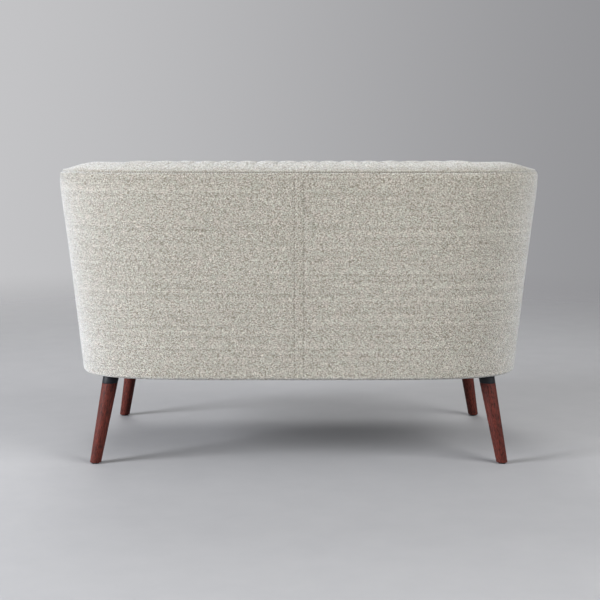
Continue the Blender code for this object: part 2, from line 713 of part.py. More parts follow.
def post_span(x):
    """Angles of the sides of a back post at this place across the back."""
    return rear_angle(x + POST_WIDTH / 2), rear_angle(x - POST_WIDTH / 2)


def back_frame(wood, board_material, web):
    """Posts, rails, wing panels, webs and the board under the outside cover."""
    post_top = level(TOP_RAIL_BOTTOM - FIT)
    for name, x, bottom in (("inner", INNER_POST_X, RAIL_BOTTOM), ("corner", CORNER_POST_X, RAIL_TOP + FIT)):
        start, end = post_span(x)
        wall(f"back_post_{name}_right", wood, (start, end), (POST_OUT, POST_IN), bottom, post_top)
        wall(f"back_post_{name}_left", wood, (180 - end, 180 - start), (POST_OUT, POST_IN), bottom, post_top)
    back = (WING_JOINT, 180 - WING_JOINT)
    wall("back_top_rail", wood, back, (INNER_OUT, POST_IN), TOP_RAIL_BOTTOM, frame_rim)
    edge = post_span(CORNER_POST_X)[0]
    across = (edge, 180 - edge)
    low = BODY_BOTTOM + LUMBAR_RAIL_RISE
    depths = (INNER_OUT, POST_OUT - BOARD_GAP)
    wall("back_lumbar_rail", wood, across, depths, low, level(low + LUMBAR_RAIL_HEIGHT))
    wing = (WING_END + JOINT_ANGLE, WING_JOINT - JOINT_ANGLE)
    depths = (INNER_OUT, INNER_OUT + WING_PANEL)
    wall("wing_panel_right", wood, wing, depths, RAIL_TOP + FIT, frame_rim)
    wall("wing_panel_left", wood, (180 - wing[1], 180 - wing[0]), depths, RAIL_TOP + FIT, frame_rim)
    around = (REAR_SPAN[0] + JOINT_ANGLE, REAR_SPAN[1] - JOINT_ANGLE)
    depths = (FRAME_OUT, BOARD_IN)
    wall("outside_board", board_material, around, depths, RAIL_TOP + FIT, frame_rim, TALL_LEVELS)
    for index in range(BACK_WEBS):
        low = BODY_BOTTOM + BACK_WEB_RISE + index * BACK_WEB_STEP
        high = level(low + BACK_WEB_HEIGHT)
        wall(f"back_web_{index + 1}", web, across, (WEB_OUT, WEB_IN), low, high)


def main():
    for item in list(bpy.data.objects):
        bpy.data.objects.remove(item, do_unlink=True)
    fabric = make_material("oatmeal_fabric", (0.50, 0.48, 0.42), 0.95)
    red_wood = make_material("red_brown_wood", (0.16, 0.045, 0.032), 0.45)
    black = make_material("black_plastic", (0.016, 0.017, 0.022), 0.5)
    steel = make_material("zinc_steel", (0.55, 0.55, 0.56), 0.35, 1.0)
    frame_wood = make_material("frame_plywood", (0.52, 0.36, 0.20), 0.7)
    fibreboard = make_material("fibreboard", (0.24, 0.16, 0.09), 0.85)
    foam = make_material("cream_foam", (0.80, 0.74, 0.55), 0.95)
    felt = make_material("grey_felt", (0.22, 0.22, 0.22), 0.95)
    webbing = make_material("black_webbing", (0.03, 0.03, 0.03), 0.8)
    cambric = make_material("black_dust_cloth", (0.02, 0.02, 0.02), 0.9)

    dust = dust_cover(cambric)
    legs(red_wood, black, steel, frame_wood, dust)
    base_rails(frame_wood)
    clip_strips(steel)
    seat_springs(steel)
    deck_pad(felt)
    seat_cushion(fabric, foam)
    back_frame(frame_wood, fibreboard, webbing)
    back_foam(foam)
    channelled_back(fabric)
    outside_covers(fabric)


main()
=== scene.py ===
"""Dressed scene of the armless loveseat: sewn fabric, channelled back, seat cushion and turned legs.

Metres, +Z up, and the front faces -Y. Angles are in degrees round the body in plan: 0 is the
right side, 90 the rear and -90 the front. A depth is measured inwards from the outside face.
"""

import json
import math

import bmesh
import bpy
import numpy as np
from mathutils import Matrix, Vector, kdtree


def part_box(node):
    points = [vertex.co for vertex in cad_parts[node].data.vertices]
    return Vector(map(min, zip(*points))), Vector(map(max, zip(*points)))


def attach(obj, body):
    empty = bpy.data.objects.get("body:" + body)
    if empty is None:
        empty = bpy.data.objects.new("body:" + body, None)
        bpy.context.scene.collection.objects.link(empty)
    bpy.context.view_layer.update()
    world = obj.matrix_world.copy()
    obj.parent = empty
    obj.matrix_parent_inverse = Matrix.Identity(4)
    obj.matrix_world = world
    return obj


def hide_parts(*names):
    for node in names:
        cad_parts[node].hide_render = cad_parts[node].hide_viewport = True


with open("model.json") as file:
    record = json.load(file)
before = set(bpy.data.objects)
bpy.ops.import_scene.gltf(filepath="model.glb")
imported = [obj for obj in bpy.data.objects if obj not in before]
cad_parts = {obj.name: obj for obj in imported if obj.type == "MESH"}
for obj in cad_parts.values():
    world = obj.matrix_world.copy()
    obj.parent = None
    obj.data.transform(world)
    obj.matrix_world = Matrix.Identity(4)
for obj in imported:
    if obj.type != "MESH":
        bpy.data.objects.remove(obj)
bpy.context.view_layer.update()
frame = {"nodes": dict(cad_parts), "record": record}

# Body outline, as the solids have it
BODY_BOTTOM = 0.230
SEAM = 0.756  # seam along the top of the outside back
BACK_RISE = SEAM - BODY_BOTTOM
HALF_WIDTH_BOTTOM = 0.578
HALF_WIDTH_TOP = 0.622
REAR_BOTTOM = 0.305
BACK_LEAN = 0.070
CORNER_REACH = 0.340
FRONT_REACH = 0.375
SQUARENESS = 4.6
LOW_MIDDLE = REAR_BOTTOM - CORNER_REACH
HIGH_MIDDLE = LOW_MIDDLE + BACK_LEAN

# Wings and inside back
WING_START = 17.5  # angle where the seam along the top begins to sweep down
WING_END = -16.0  # angle of a wing's front edge
WING_TUCK = 0.022  # how far the wing ends below the top of the seat
WING_CROWN = 0.008  # height of the roll above the seam, on the wings
CROWN_RISE = 0.0248  # and across the back
ROLL_FULL = 27.0  # angle from which it has that height
ROLL_DEPTH = 0.042  # depth of the roll's top line
ROLL_FALL = 0.036  # its inner side rounds off this far below the seam
ROLL_ROUND = 2.0  # the roll's section is round at the sides
ROLL_FLAT = 1.45  # and nearer to a flat slope across the back
BACK_THICK_TOP = 0.088
BACK_THICK_SEAT = 0.120
WING_THICK = 0.076
WING_THICK_END = 8.0  # angles between which the wing's thickness becomes the back's
BACK_THICK_START = 35.0
BACK_TUCK = 0.080  # how far the pad runs down behind the seat
WING_JOINT = 16.0  # angle where the wing's panel ends
WING_FRAME = 0.0288  # depth of the pad's inner side on the wing's panel
BACK_FRAME = 0.0611  # and on the back's webs
FRAME_DROP = 0.0102  # frame's top below the seam
CHANNELS = 16
CHANNEL_PITCH = 0.0499
CHANNEL_FAN = 0.0233  # how far the outermost valleys spread
CHANNEL_FAN_POWER = 7
CHANNEL_DEPTH = 0.010
CHANNEL_AT_ROLL = 0.35  # share of a channel's depth that shows on the roll
CHANNEL_FULLNESS = 0.66  # under 1, a channel is fuller than half a wave
CHANNEL_STEPS = 14  # columns of the mesh across each channel
VALLEY_SEAM = 0.0026  # depth and width of the seam between two channels
VALLEY_WIDTH = 0.0022
PAD_COLUMN = 0.008  # spacing of the mesh along the wings
ROLL_RISE = np.radians(np.concatenate((np.linspace(0, 16, 8)[:-1], np.linspace(16, 90, 13))))
ROLL_DOWN = np.radians(np.linspace(0, 90, 15)[1:-1])
FACE_ROWS = 56  # rows of the mesh down the inside of the back
FRAME_ROWS = 8  # up its frame
FRAME_POINTS = 4  # and over the frame's top
FREE_START = (0.27, 0.08)  # share of the section where a channel comes free, and over how much
FREE_END = (0.85, 0.05)
FREE_PUFF = 0.7  # share of a full puff where a channel is quite free

# Seat
SEAT_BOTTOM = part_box("seat_cover")[0].z
SEAT_THICK = 0.114
SEAT_TOP = SEAT_BOTTOM + SEAT_THICK
SEAT_CROWN = 0.012
SEAT_EDGE = 0.022  # rounding of the top edge
SEAT_REAR_EDGE = 0.4  # share of it along the back and wings
SEAT_DRAW = 0.003  # how far the foot of the sides draws in
SEAT_GAP = 0.0020  # between the seat and the back or wings
SEAT_SLACK = 0.003  # how much smaller the cushion is before it is stuffed
SEAT_SWELL = 0.018  # furthest that stuffing moves its cover
SEAT_VOXEL = 0.0075
SEAT_SEAM = 0.0022  # depth and width of the seam round the top edge
SEAT_SEAM_WIDTH = 0.0045
CHANNEL_START = 0.65  # share of a channel's depth before it is stuffed
CHANNEL_SWELL = 0.0045
CLOTH_FRAMES = 20
PRESSURE = 4.0
EAR_SPREAD = 40.0  # degrees over which the seat's top leaves its ears
TUCK = SEAT_TOP - BACK_TUCK
SEAT_POINTS = 90  # points along the seat's front and along its rear
SEAT_EVENNESS = 0.6  # share of even spacing among points that crowd at the corners
CORNER_TRIALS = 20  # fine steps for each point that is picked
SEAT_LEVELS = 7  # outlines up the seat's side
SEAT_TURNS = np.radians((15, 30, 45, 60, 75, 90))  # over its rounded edge
SEAT_RINGS = (0.96, 0.9, 0.8, 0.65, 0.5, 0.3, 0.12)  # and over its top
SEAT_SEAM_TURN = math.radians(45)  # the seam lies half-way over the edge
SEAT_SEAM_POINTS = 1500
SEAT_SEAM_HOLD = 0.5
SEAT_SIDE_HOLD = 1.4  # how soon the seat's side is held, from its top edge down
SEAT_PRESSED = 0.045  # width of the strip that the back and wings press on
SEAT_PRESSED_FADE = 0.025

# Sewing
COVER = 0.0015  # thickness of the fabric
SEAM_GROOVE = 0.0024  # depth of the groove where two panels are sewn together
SEAM_WIDTH = 0.0020
SIDE_GROOVE = 0.35  # share of it that is left at the sides
SEAM_TUCK = 0.008  # how far the sewn edges run on inside
SEAM_DRAW = 0.0030  # how far the seam along the top draws the fabric in at the sides
SEAM_DRAW_REACH = 0.050  # over this height
BACK_DRAW = 0.4  # share of it that is left across the back
SIDE_TURN = 0.0054  # how far it turns in just under that seam at the sides
SIDE_TURN_REACH = 0.012
SIDE_HOLLOW = 0.0015  # how far it draws in half-way up the sides
TOPSTITCH_X = (0.0106, -0.0130)  # rows of stitches each side of the middle seam of the back
TOPSTITCH_DIP = (0.0006, 0.0009)
TOPSTITCH_WIDTH = 0.0026
TOPSTITCH_PITCH = 0.0078
TOPSTITCH_START = 0.012  # first stitch above the fabric's lower edge
TOPSTITCH_END = 0.008  # last stitch below the seam
TOPSTITCH_FADE = 0.02  # a row's dip fades out over this height below it
TOPSTITCH_REACH = 10.0  # degrees each side of the middle where the rows can show
SEAM_STITCH_PITCH = 0.0059
SEAM_STITCH_START = 33.0  # thread shows in the seam along the top from this angle on
TOPSTITCH = Vector((0.0024, 0.0009, 0.0008))  # half sizes of one stitch of thread
SEAM_STITCH = Vector((0.0014, 0.0011, 0.0009))
TUFT_SLANT = math.radians(38)
LOWER_EDGE = 0.008  # rounding of the fabric over the base's lower edge
FABRIC_BOTTOM = BODY_BOTTOM - 0.0022  # fabric lies on the underside of the base
LOWER_TURNS = np.radians(np.linspace(0, 90, 9))
HEM = 0.030  # fabric turned in under the base
HEM_POINTS = 4
FOLD_IN = 0.016  # fabric turned in at the front edge of the wings
FOLD_ROUND = 0.002
FOLD_ANGLE = 0.5  # degrees over which it rounds off
FOLD_STEPS = (0.0, 0.01, 0.06, 0.14, 0.25, 0.40)  # degrees from the edge
FOLD_CLEAR = 0.6  # degrees from the edge to the first evenly spaced column
AT_EDGE = 0.005  # degrees within which a column is at the edge
JOINT_ANGLE = 0.05  # degrees between neighbours at a wing's front edge
SEAM_STEPS = np.array((0.0, 0.0008, 0.0016, 0.0026, 0.0038, 0.0055, 0.009))  # points just below a seam
BACK_FACE = (0.018, 0.008, 44)  # even rows: from below the seam, to above the lower edge, how many
FRONT_FACE = (0.016, 0.006, 9)
BACK_LINING = 3  # the fabric's inner side has every third row of its face
FRONT_LINING = 2
FABRIC_COLUMN = 0.009  # spacing of the mesh along the outside
MIDDLE_STRIP = np.linspace(0.034, 0.00006, 40)  # columns beside the middle seam of the back
DUST_EDGE = HEM - 0.012  # depth of the dust cloth's edge
DUST_DROP = 0.0004  # how far it lies below the fabric
DUST_SAG = 0.005
DUST_SLACK = 0.72  # share of its reach inside which it sags
DUST_THICK = 0.0006
DUST_ANGLES = np.arange(0, 360, 2.0)
DUST_RINGS = np.linspace(1.0, 0.02, 26)
STAPLES = 64
HALF_DEGREES = np.linspace(0, 360, 721)
STAPLE_DEPTH = HEM - 0.007
STAPLE_DROP = 0.0006
STAPLE_EASE = 0.0002
STAPLE_AHEAD = 1.0  # degrees to the point that a staple lies towards
STAPLE = Vector((0.0055, 0.0006, 0.0003))  # half sizes of a staple's crown

# Legs
LEG_INSET_X = 0.0905
LEG_INSET_Y = 0.087
SPLAY = Vector((0.18, 0.15, 1.0))  # sideways and endways for each metre down
LEG_TOP_RADIUS = 0.0206
LEG_FOOT_RADIUS = 0.0142
COLLAR_HEIGHT = 0.023
GLIDE_HEIGHT = 0.003
GLIDE_RADIUS = 0.011
LEG_SIDES = 64
LEG_EASE = 0.0007  # rounding of a leg's sharp edges
GLIDE_SIDES = 48
GLIDE_EASE = 0.0004
GRAIN_SHIFT = 0.3  # each leg is cut from another place in the wood
FIT = 0.0003  # gap between pieces that touch

# Camera and studio
LENS = 78.88  # in millimetres, as is the film's width
FILM = 36.0
CAMERA_PLACE = (-0.0032, 3.587, 0.866)
CAMERA_DIP = 7.49  # degrees below level
LIGHT_AIM = Vector((0.0, 0.0, 0.40))
SOFTBOXES = (  # name, place, width, level and colour
    ("softbox_left", (4.1, 1.9, 1.6), 1.9, 1.52, "#f8faff"),
    ("softbox_right", (-3.0, 2.2, 2.4), 3.0, 0.88, "#ffffff"),
    ("softbox_above", (0.0, 1.0, 3.6), 2.4, 0.06, "#ffffff"),
    ("softbox_front", (0.7, -3.0, 4.2), 2.6, 0.36, "#ffffff"),
)
ROOM_LEVEL = 0.07  # light from the room's walls
ROOM_ABOVE = 0.15  # and from its ceiling
ROOM_FRONT = 0.5  # what the wall in front of the seat adds
WALL_TURN = 0.35  # how far to each side the painted light on the wall changes
FLOOR_RADIUS = 6.0
FLOOR_SIDES = 96
FLOOR_FADE = (1.6, 4.6)  # distances between which the floor runs out

ROOT = "root"
SHARP = math.radians(50)
MERGE = 1e-6
TRIAL_POINTS = 2000  # fine steps from which even ones are picked
NEXT_ANGLE = 0.1  # degrees to a point that shows a line's direction


def linear(hex_colour):
    """Linear colour of an sRGB hex value."""
    parts = [int(hex_colour[place : place + 2], 16) / 255 for place in (1, 3, 5)]
    return (*(part / 12.92 if part <= 0.04045 else ((part + 0.055) / 1.055) ** 2.4 for part in parts), 1.0)


def feed(tree, node, inputs):
    """Set a node's inputs; each is a value, the socket that feeds it, or a node for its first socket."""
    for name, value in inputs.items():
        if isinstance(value, bpy.types.Node):
            value = value.outputs[0]
        if isinstance(value, bpy.types.NodeSocket):
            tree.links.new(value, node.inputs[name])
        else:
            node.inputs[name].default_value = value


def add_node(tree, kind, inputs=None, **settings):
    """Add a node of a kind with its settings and inputs."""
    node = tree.nodes.new(f"ShaderNode{kind}")
    for field, value in settings.items():
        setattr(node, field, value)
    feed(tree, node, inputs or {})
    return node


def add_object(name, data):
    """Put an object with this mesh, lamp or lens into the scene."""
    thing = bpy.data.objects.new(name, data)
    bpy.context.scene.collection.objects.link(thing)
    return thing


def camera():
    """Squarely behind the loveseat, a little above it, at the photograph's distance."""
    lens = bpy.data.cameras.new("camera")
    lens.lens = LENS
    lens.sensor_width = FILM
    eye = add_object("camera", lens)
    eye.location = CAMERA_PLACE
    eye.rotation_euler = (math.radians(90 - CAMERA_DIP), 0.0, math.radians(180))
    bpy.context.scene.camera = eye


def softbox(name, place, width, level, colour):
    """A round softbox aimed at the loveseat; level is what it adds to a white card facing it there."""
    place = Vector(place)
    light = bpy.data.lights.new(name, "AREA")
    light.shape = "DISK"
    light.size = width
    light.energy = level * math.pi**2 * (place - LIGHT_AIM).length_squared
    light.color = linear(colour)[:3]
    lamp = add_object(name, light)
    lamp.location = place
    lamp.rotation_mode = "QUATERNION"
    lamp.rotation_quaternion = (LIGHT_AIM - place).to_track_quat("-Z", "Y")


def studio():
    """Soft light from the left of the picture, less from the right and above, and a pale room."""
    for box in SOFTBOXES:
        softbox(*box)
    world = bpy.data.worlds.new("pale_room")
    world.use_nodes = True
    bpy.context.scene.world = world
    tree = world.node_tree
    tree.nodes.clear()
    ray = add_node(tree, "LightPath").outputs
    seen = ray["Is Camera Ray"]
    for other in ("Is Glossy Ray", "Is Transmission Ray"):
        seen = add_node(tree, "Math", {0: seen, 1: ray[other]}, operation="MAXIMUM")
    towards = add_node(tree, "TexCoord").outputs["Generated"]
    axes = add_node(tree, "SeparateXYZ", {0: towards})
    overhead = add_node(
        tree, "MapRange", {"Value": axes.outputs["Z"], "To Min": ROOM_LEVEL, "To Max": ROOM_ABOVE},
    )
    # The room in front of the seat is brighter and softly lights that side
    ahead = add_node(tree, "MapRange", {"Value": axes.outputs["Y"], "From Max": -1.0, "To Max": ROOM_FRONT})
    glow = add_node(tree, "Math", {0: overhead, 1: ahead}, operation="ADD")
    light = add_node(tree, "Background", {"Color": linear("#fbfcff"), "Strength": glow})
    # Painted light: the wall is paler on the side of the main light
    side = add_node(
        tree, "MapRange",
        {"Value": axes.outputs["X"], "From Min": -WALL_TURN, "From Max": WALL_TURN},
        interpolation_type="SMOOTHSTEP",
    )
    # Two greys of painted light, dim on the right and bright on the left
    painted_wall_light = add_node(
        tree, "MixRGB", {"Fac": side, "Color1": linear("#8f8f92"), "Color2": linear("#c8c8ca")},
    )
    wall = add_node(tree, "Background", {"Color": painted_wall_light, "Strength": 1.0})
    both = add_node(tree, "MixShader", {0: seen, 1: light, 2: wall})
    add_node(tree, "OutputWorld", {"Surface": both})
    bpy.context.scene.view_settings.view_transform = "Standard"


def new_material(name, roughness, **sockets):
    """A material with its shader; what is the same all over goes straight onto the shader."""
    material = bpy.data.materials.new(name)
    material.use_nodes = True
    tree = material.node_tree
    shader = tree.nodes["Principled BSDF"]
    feed(tree, shader, {"Roughness": roughness})
    feed(tree, shader, {socket.replace("_", " "): value for socket, value in sockets.items()})
    return material, tree, shader


def floor():
    """Pale cast floor that runs out softly into the room's colour."""
    disc = bmesh.new()
    bmesh.ops.create_circle(disc, cap_ends=True, segments=FLOOR_SIDES, radius=FLOOR_RADIUS)
    mesh = bpy.data.meshes.new("studio_floor")
    disc.to_mesh(mesh)
    disc.free()
    ground = add_object("studio_floor", mesh)
    material, tree, shader = new_material("cast_floor", 0.7)
    place = add_node(tree, "TexCoord").outputs["Object"]
    # Faint clouds about 110 mm across
    mottle = add_node(tree, "TexNoise", {"Vector": place, "Scale": 9.0, "Detail": 5.0, "Roughness": 0.6})
    colour = add_node(
        tree, "MixRGB", {"Fac": mottle, "Color1": linear("#9e9ea0"), "Color2": linear("#a8a8a9")},
    )
    reach = add_node(tree, "VectorMath", {0: place}, operation="LENGTH")
    fade = add_node(
        tree, "MapRange",
        {
            "Value": reach.outputs["Value"], "From Min": FLOOR_FADE[0], "From Max": FLOOR_FADE[1],
            "To Min": 1.0, "To Max": 0.0,
        },
        interpolation_type="SMOOTHSTEP",
    )
    feed(tree, shader, {"Base Color": colour, "Alpha": fade})
    mesh.materials.append(material)


def boucle(name, rows, yarns, pit):
    """Oatmeal boucle: looped yarn in uneven rows, so matt pebbles, dark pits and pale fuzz at the edges.

    rows is the direction across the rows of yarn, yarns its two tones and pit the colour between loops,
    which carries painted shade.
    """
    material, tree, shader = new_material(
        name, 0.92, Specular_IOR_Level=0.2, Sheen_Weight=1.0, Sheen_Roughness=0.42,
        Sheen_Tint=linear("#f0f6ff"),
    )
    place = add_node(tree, "TexCoord").outputs["Object"]
    # Loops of yarn 3 mm across in rows 1.4 mm apart, bent out of round over 8 mm
    drawn = add_node(tree, "Mapping", {"Vector": place, "Scale": (1.0, 1.0, 2.2)})
    bend = add_node(tree, "TexNoise", {"Vector": drawn, "Scale": 1 / 0.008, "Detail": 1.0})
    shift = add_node(
        tree, "VectorMath",
        {0: bend.outputs["Color"], 1: (0.004, 0.004, 0.004), 2: drawn}, operation="MULTIPLY_ADD",
    )
    loops = add_node(
        tree, "TexVoronoi", {"Vector": shift, "Scale": 1 / 0.003, "Smoothness": 0.3}, feature="SMOOTH_F1",
    )
    pits = add_node(tree, "MapRange", {"Value": loops, "From Min": 0.15, "From Max": 0.75})
    # Tufts of fibre that slant both ways, drawn 4 mm long so that they show
    slants = []
    for turn in (TUFT_SLANT, -TUFT_SLANT):
        slant = add_node(
            tree, "Mapping",
            {"Vector": place, "Rotation": (0.0, turn, 0.0), "Scale": (1.0, 1.0, 0.32)},
            vector_type="TEXTURE",
        )
        slants.append(add_node(
            tree, "TexNoise", {"Vector": slant, "Scale": 1 / 0.004, "Detail": 1.0, "Roughness": 0.6},
        ))
    tufts = add_node(tree, "Math", {0: slants[0], 1: slants[1]}, operation="ADD")
    # Thick and thin yarn makes faint lines across the cloth, the widest 12 mm and over a metre long
    across = add_node(tree, "VectorMath", {0: place, 1: rows}, operation="DOT_PRODUCT")
    along = add_node(tree, "SeparateXYZ", {0: place})
    slub_place = add_node(tree, "CombineXYZ", {"X": along.outputs["X"], "Z": across.outputs["Value"]})
    stretched = add_node(tree, "Mapping", {"Vector": slub_place, "Scale": (0.3, 1.0, 1 / 0.012)})
    slubs = add_node(tree, "TexNoise", {"Vector": stretched, "Scale": 1.0, "Detail": 3.0, "Roughness": 0.8})
    relief = add_node(tree, "Math", {0: pits, 1: -1.0, 2: tufts}, operation="MULTIPLY_ADD")
    bump = add_node(tree, "Bump", {"Strength": 0.8, "Distance": 0.0026, "Height": relief})
    # Yarn dyed in two close tones that change every 14 mm or so
    tone = add_node(
        tree, "TexNoise", {"Vector": place, "Scale": 1 / 0.014, "Detail": 3.0, "Roughness": 0.75},
    )
    spread = add_node(tree, "MapRange", {"Value": tone, "From Min": 0.36, "From Max": 0.64})
    yarn = add_node(tree, "MixRGB", {"Fac": spread, "Color1": linear(yarns[0]), "Color2": linear(yarns[1])})
    # Painted shade darkens the pits and painted light pales the full tufts; thick yarn is pale
    shade = add_node(tree, "Math", {0: tufts, 1: -1.6, 2: pits}, operation="MULTIPLY_ADD")
    shade = add_node(tree, "Math", {0: slubs, 1: -0.7, 2: shade}, operation="MULTIPLY_ADD")
    depth = add_node(tree, "MapRange", {"Value": shade, "From Min": -1.85, "From Max": -1.05})
    colour = add_node(tree, "MixRGB", {"Fac": depth, "Color1": yarn, "Color2": linear(pit)})
    feed(tree, shader, {"Base Color": colour, "Normal": bump})
    return material


def stained_beech():
    """Turned beech stained red-brown under matt lacquer: fine streaks along the leg and darker pores."""
    material, tree, shader = new_material("stained_beech", 0.66, Specular_IOR_Level=0.2)
    grain = add_node(tree, "Attribute", attribute_name="grain").outputs["Vector"]
    stretched = add_node(tree, "Mapping", {"Vector": grain, "Scale": (1.0, 1.0, 0.20)})
    # Growth rings show as streaks about 5 mm wide
    streak = add_node(
        tree, "TexNoise",
        {"Vector": stretched, "Scale": 1 / 0.005, "Detail": 4.0, "Roughness": 0.7, "Distortion": 0.4},
    )
    spread = add_node(tree, "MapRange", {"Value": streak, "From Min": 0.32, "From Max": 0.68})
    wood = add_node(
        tree, "MixRGB", {"Fac": spread, "Color1": linear("#421d17"), "Color2": linear("#662b22")},
    )
    # Pores are drawn 2 mm wide, coarser than beech has them, so that they show
    pores = add_node(
        tree, "TexNoise", {"Vector": stretched, "Scale": 1 / 0.002, "Detail": 2.0, "Roughness": 0.6},
    )
    dark = add_node(tree, "MapRange", {"Value": pores, "From Min": 0.50, "From Max": 0.62, "To Max": 0.85})
    colour = add_node(tree, "MixRGB", {"Fac": dark, "Color1": wood, "Color2": linear("#210c09")})
    gloss = add_node(tree, "MapRange", {"Value": streak, "To Min": 0.58, "To Max": 0.74})
    bump = add_node(tree, "Bump", {"Strength": 0.3, "Distance": 0.0004, "Height": pores})
    feed(tree, shader, {"Base Color": colour, "Roughness": gloss, "Normal": bump})
    return material


def grained(
    name, roughness, size, dark, pale, stretch=(1.0, 1.0, 1.0), bump=0.2, relief=0.0005, **sockets,
):
    """A finish of two close colours in grains of one size, drawn out where it has a direction."""
    material, tree, shader = new_material(name, roughness, **sockets)
    place = add_node(tree, "TexCoord").outputs["Object"]
    drawn = add_node(tree, "Mapping", {"Vector": place, "Scale": stretch})
    grains = add_node(
        tree, "TexNoise", {"Vector": drawn, "Scale": 1 / size, "Detail": 4.0, "Roughness": 0.6},
    )
    spread = add_node(tree, "MapRange", {"Value": grains, "From Min": 0.3, "From Max": 0.7})
    colour = add_node(tree, "MixRGB", {"Fac": spread, "Color1": linear(dark), "Color2": linear(pale)})
    uneven = add_node(
        tree, "MapRange",
        {"Value": grains, "To Min": roughness - 0.08, "To Max": min(roughness + 0.08, 1.0)},
    )
    raised = add_node(tree, "Bump", {"Strength": bump, "Distance": relief, "Height": grains})
    feed(tree, shader, {"Base Color": colour, "Roughness": uneven, "Normal": raised})
    return material


def smooth_step(share):
    """0 to 1 with level ends."""
    share = np.clip(share, 0.0, 1.0)
    return share * share * (3 - 2 * share)


def fold(angle):
    """The angle's mirror image on the right-hand side."""
    return np.minimum(angle, 180 - angle)


def outline(angle, half_width, front_reach, depth):
    """Point on one rounded-corner outline, from the middle of its widest line."""
    turn = np.radians(angle)
    reach = np.where(np.sin(turn) >= 0, CORNER_REACH, front_reach)
    across = np.abs(np.cos(turn)) / (half_width - depth)
    along = np.abs(np.sin(turn)) / (reach - depth)
    radius = (across**SQUARENESS + along**SQUARENESS) ** (-1 / SQUARENESS)
    return radius * np.cos(turn), radius * np.sin(turn)


def plan(angle, height, depth):
    """Points at these angles round the body, at these heights, this deep inside its outside face."""
    low_x, low_y = outline(angle, HALF_WIDTH_BOTTOM, LOW_MIDDLE + FRONT_REACH, depth)
    high_x, high_y = outline(angle, HALF_WIDTH_TOP, HIGH_MIDDLE + FRONT_REACH, depth)
    share = (height - BODY_BOTTOM) / BACK_RISE
    x = low_x + (high_x - low_x) * share
    y = low_y + LOW_MIDDLE + (high_y + HIGH_MIDDLE - low_y - LOW_MIDDLE) * share
    return np.stack(np.broadcast_arrays(x, y, height), axis=-1)


def even_angles(start, end, spacing):
    """Angles from start to end that are evenly spaced along the body's outside."""
    trial = np.linspace(start, end, TRIAL_POINTS)
    steps = np.linalg.norm(np.diff(plan(trial, SEAM, 0.0), axis=0), axis=1)
    run = np.concatenate(([0.0], np.cumsum(steps)))
    count = max(2, round(run[-1] / spacing) + 1)
    return np.interp(np.linspace(0.0, run[-1], count), run, trial)


def rim(angle):
    """Height of the seam along the top of the outside, level at the back and swept down the wings."""
    share = smooth_step((WING_START - fold(angle)) / (WING_START - WING_END))
    return SEAM + (SEAT_TOP - WING_TUCK - SEAM) * share


def crown_rise(angle):
    """Height of the padded roll above the seam."""
    share = smooth_step((fold(angle) - WING_START) / (ROLL_FULL - WING_START))
    return WING_CROWN + (CROWN_RISE - WING_CROWN) * share


def back_share(angle):
    """0 on the wings and 1 on the back."""
    return smooth_step((fold(angle) - WING_THICK_END) / (BACK_THICK_START - WING_THICK_END))


def inside_thickness(angle, height):
    """Thickness of the back or wing, without its channels."""
    back = BACK_THICK_TOP + (BACK_THICK_SEAT - BACK_THICK_TOP) * (SEAM - height) / (SEAM - SEAT_TOP)
    return WING_THICK + (back - WING_THICK) * back_share(angle)


def sideways(angle):
    """1 on the sides and 0 at the middle of the back or front."""
    return math.cos(math.radians(angle)) ** 2


def seam_draw(angle, height):
    """How far the seam along the top draws the outside in, fading out at the front edge of the wings."""
    distance = np.abs(rim(angle) - height)
    share = BACK_DRAW + (1 - BACK_DRAW) * sideways(angle)
    slow = SEAM_DRAW * share * smooth_step(1 - distance / SEAM_DRAW_REACH)
    short = SIDE_TURN * sideways(angle) * np.clip(1 - distance / SIDE_TURN_REACH, 0, 1) ** 2
    return (slow + short) * smooth_step((fold(angle) - WING_END) / WING_START)


def groove(distance, angle):
    """How far fabric draws in at this distance from a sewn seam."""
    depth = SEAM_GROOVE * (1 - (1 - SIDE_GROOVE) * sideways(angle))
    return depth * np.exp(-((distance / SEAM_WIDTH) ** 2))


def keep(name, source, material, slot, *nodes):
    """Turn the worked mesh into a piece of the loveseat that stands for these nodes of the frame."""
    bmesh.ops.recalc_face_normals(source, faces=source.faces)
    mesh = bpy.data.meshes.new(name)
    source.to_mesh(mesh)
    source.free()
    mesh.shade_smooth()
    mesh.set_sharp_from_angle(angle=SHARP)
    mesh.materials.append(material)
    piece = add_object(name, mesh)
    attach(piece, ROOT)
    if nodes:
        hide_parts(*nodes)
    return piece


def loft(loops, pins=None):
    """A closed form through closed outlines of as many points each, with flat ends.

    pins, where given, says for each point how firmly it is sewn or held down.
    """
    rings = len(loops) - 1
    points = len(loops[0])
    form = bmesh.new()
    bmesh.ops.create_grid(form, x_segments=rings, y_segments=points, size=0.5)
    held = form.verts.layers.float.new("held") if pins is not None else None
    for vert in form.verts:
        ring = round((vert.co.x + 0.5) * rings)
        point = round((vert.co.y + 0.5) * points) % points
        vert.co = loops[ring][point]
        if held:
            vert[held] = pins[ring][point]
    bmesh.ops.remove_doubles(form, verts=form.verts, dist=MERGE)
    bmesh.ops.holes_fill(form, edges=form.edges, sides=0)
    return form


def mesh_places(mesh):
    """Places of a mesh's points."""
    places = np.empty(3 * len(mesh.vertices), dtype=np.float32)
    mesh.vertices.foreach_get("co", places)
    return places.reshape(-1, 3)


def add_to(form, small):
    """Add a small form to another that holds many."""
    part = bpy.data.meshes.new("part")
    small.to_mesh(part)
    small.free()
    form.from_mesh(part)
    bpy.data.meshes.remove(part)


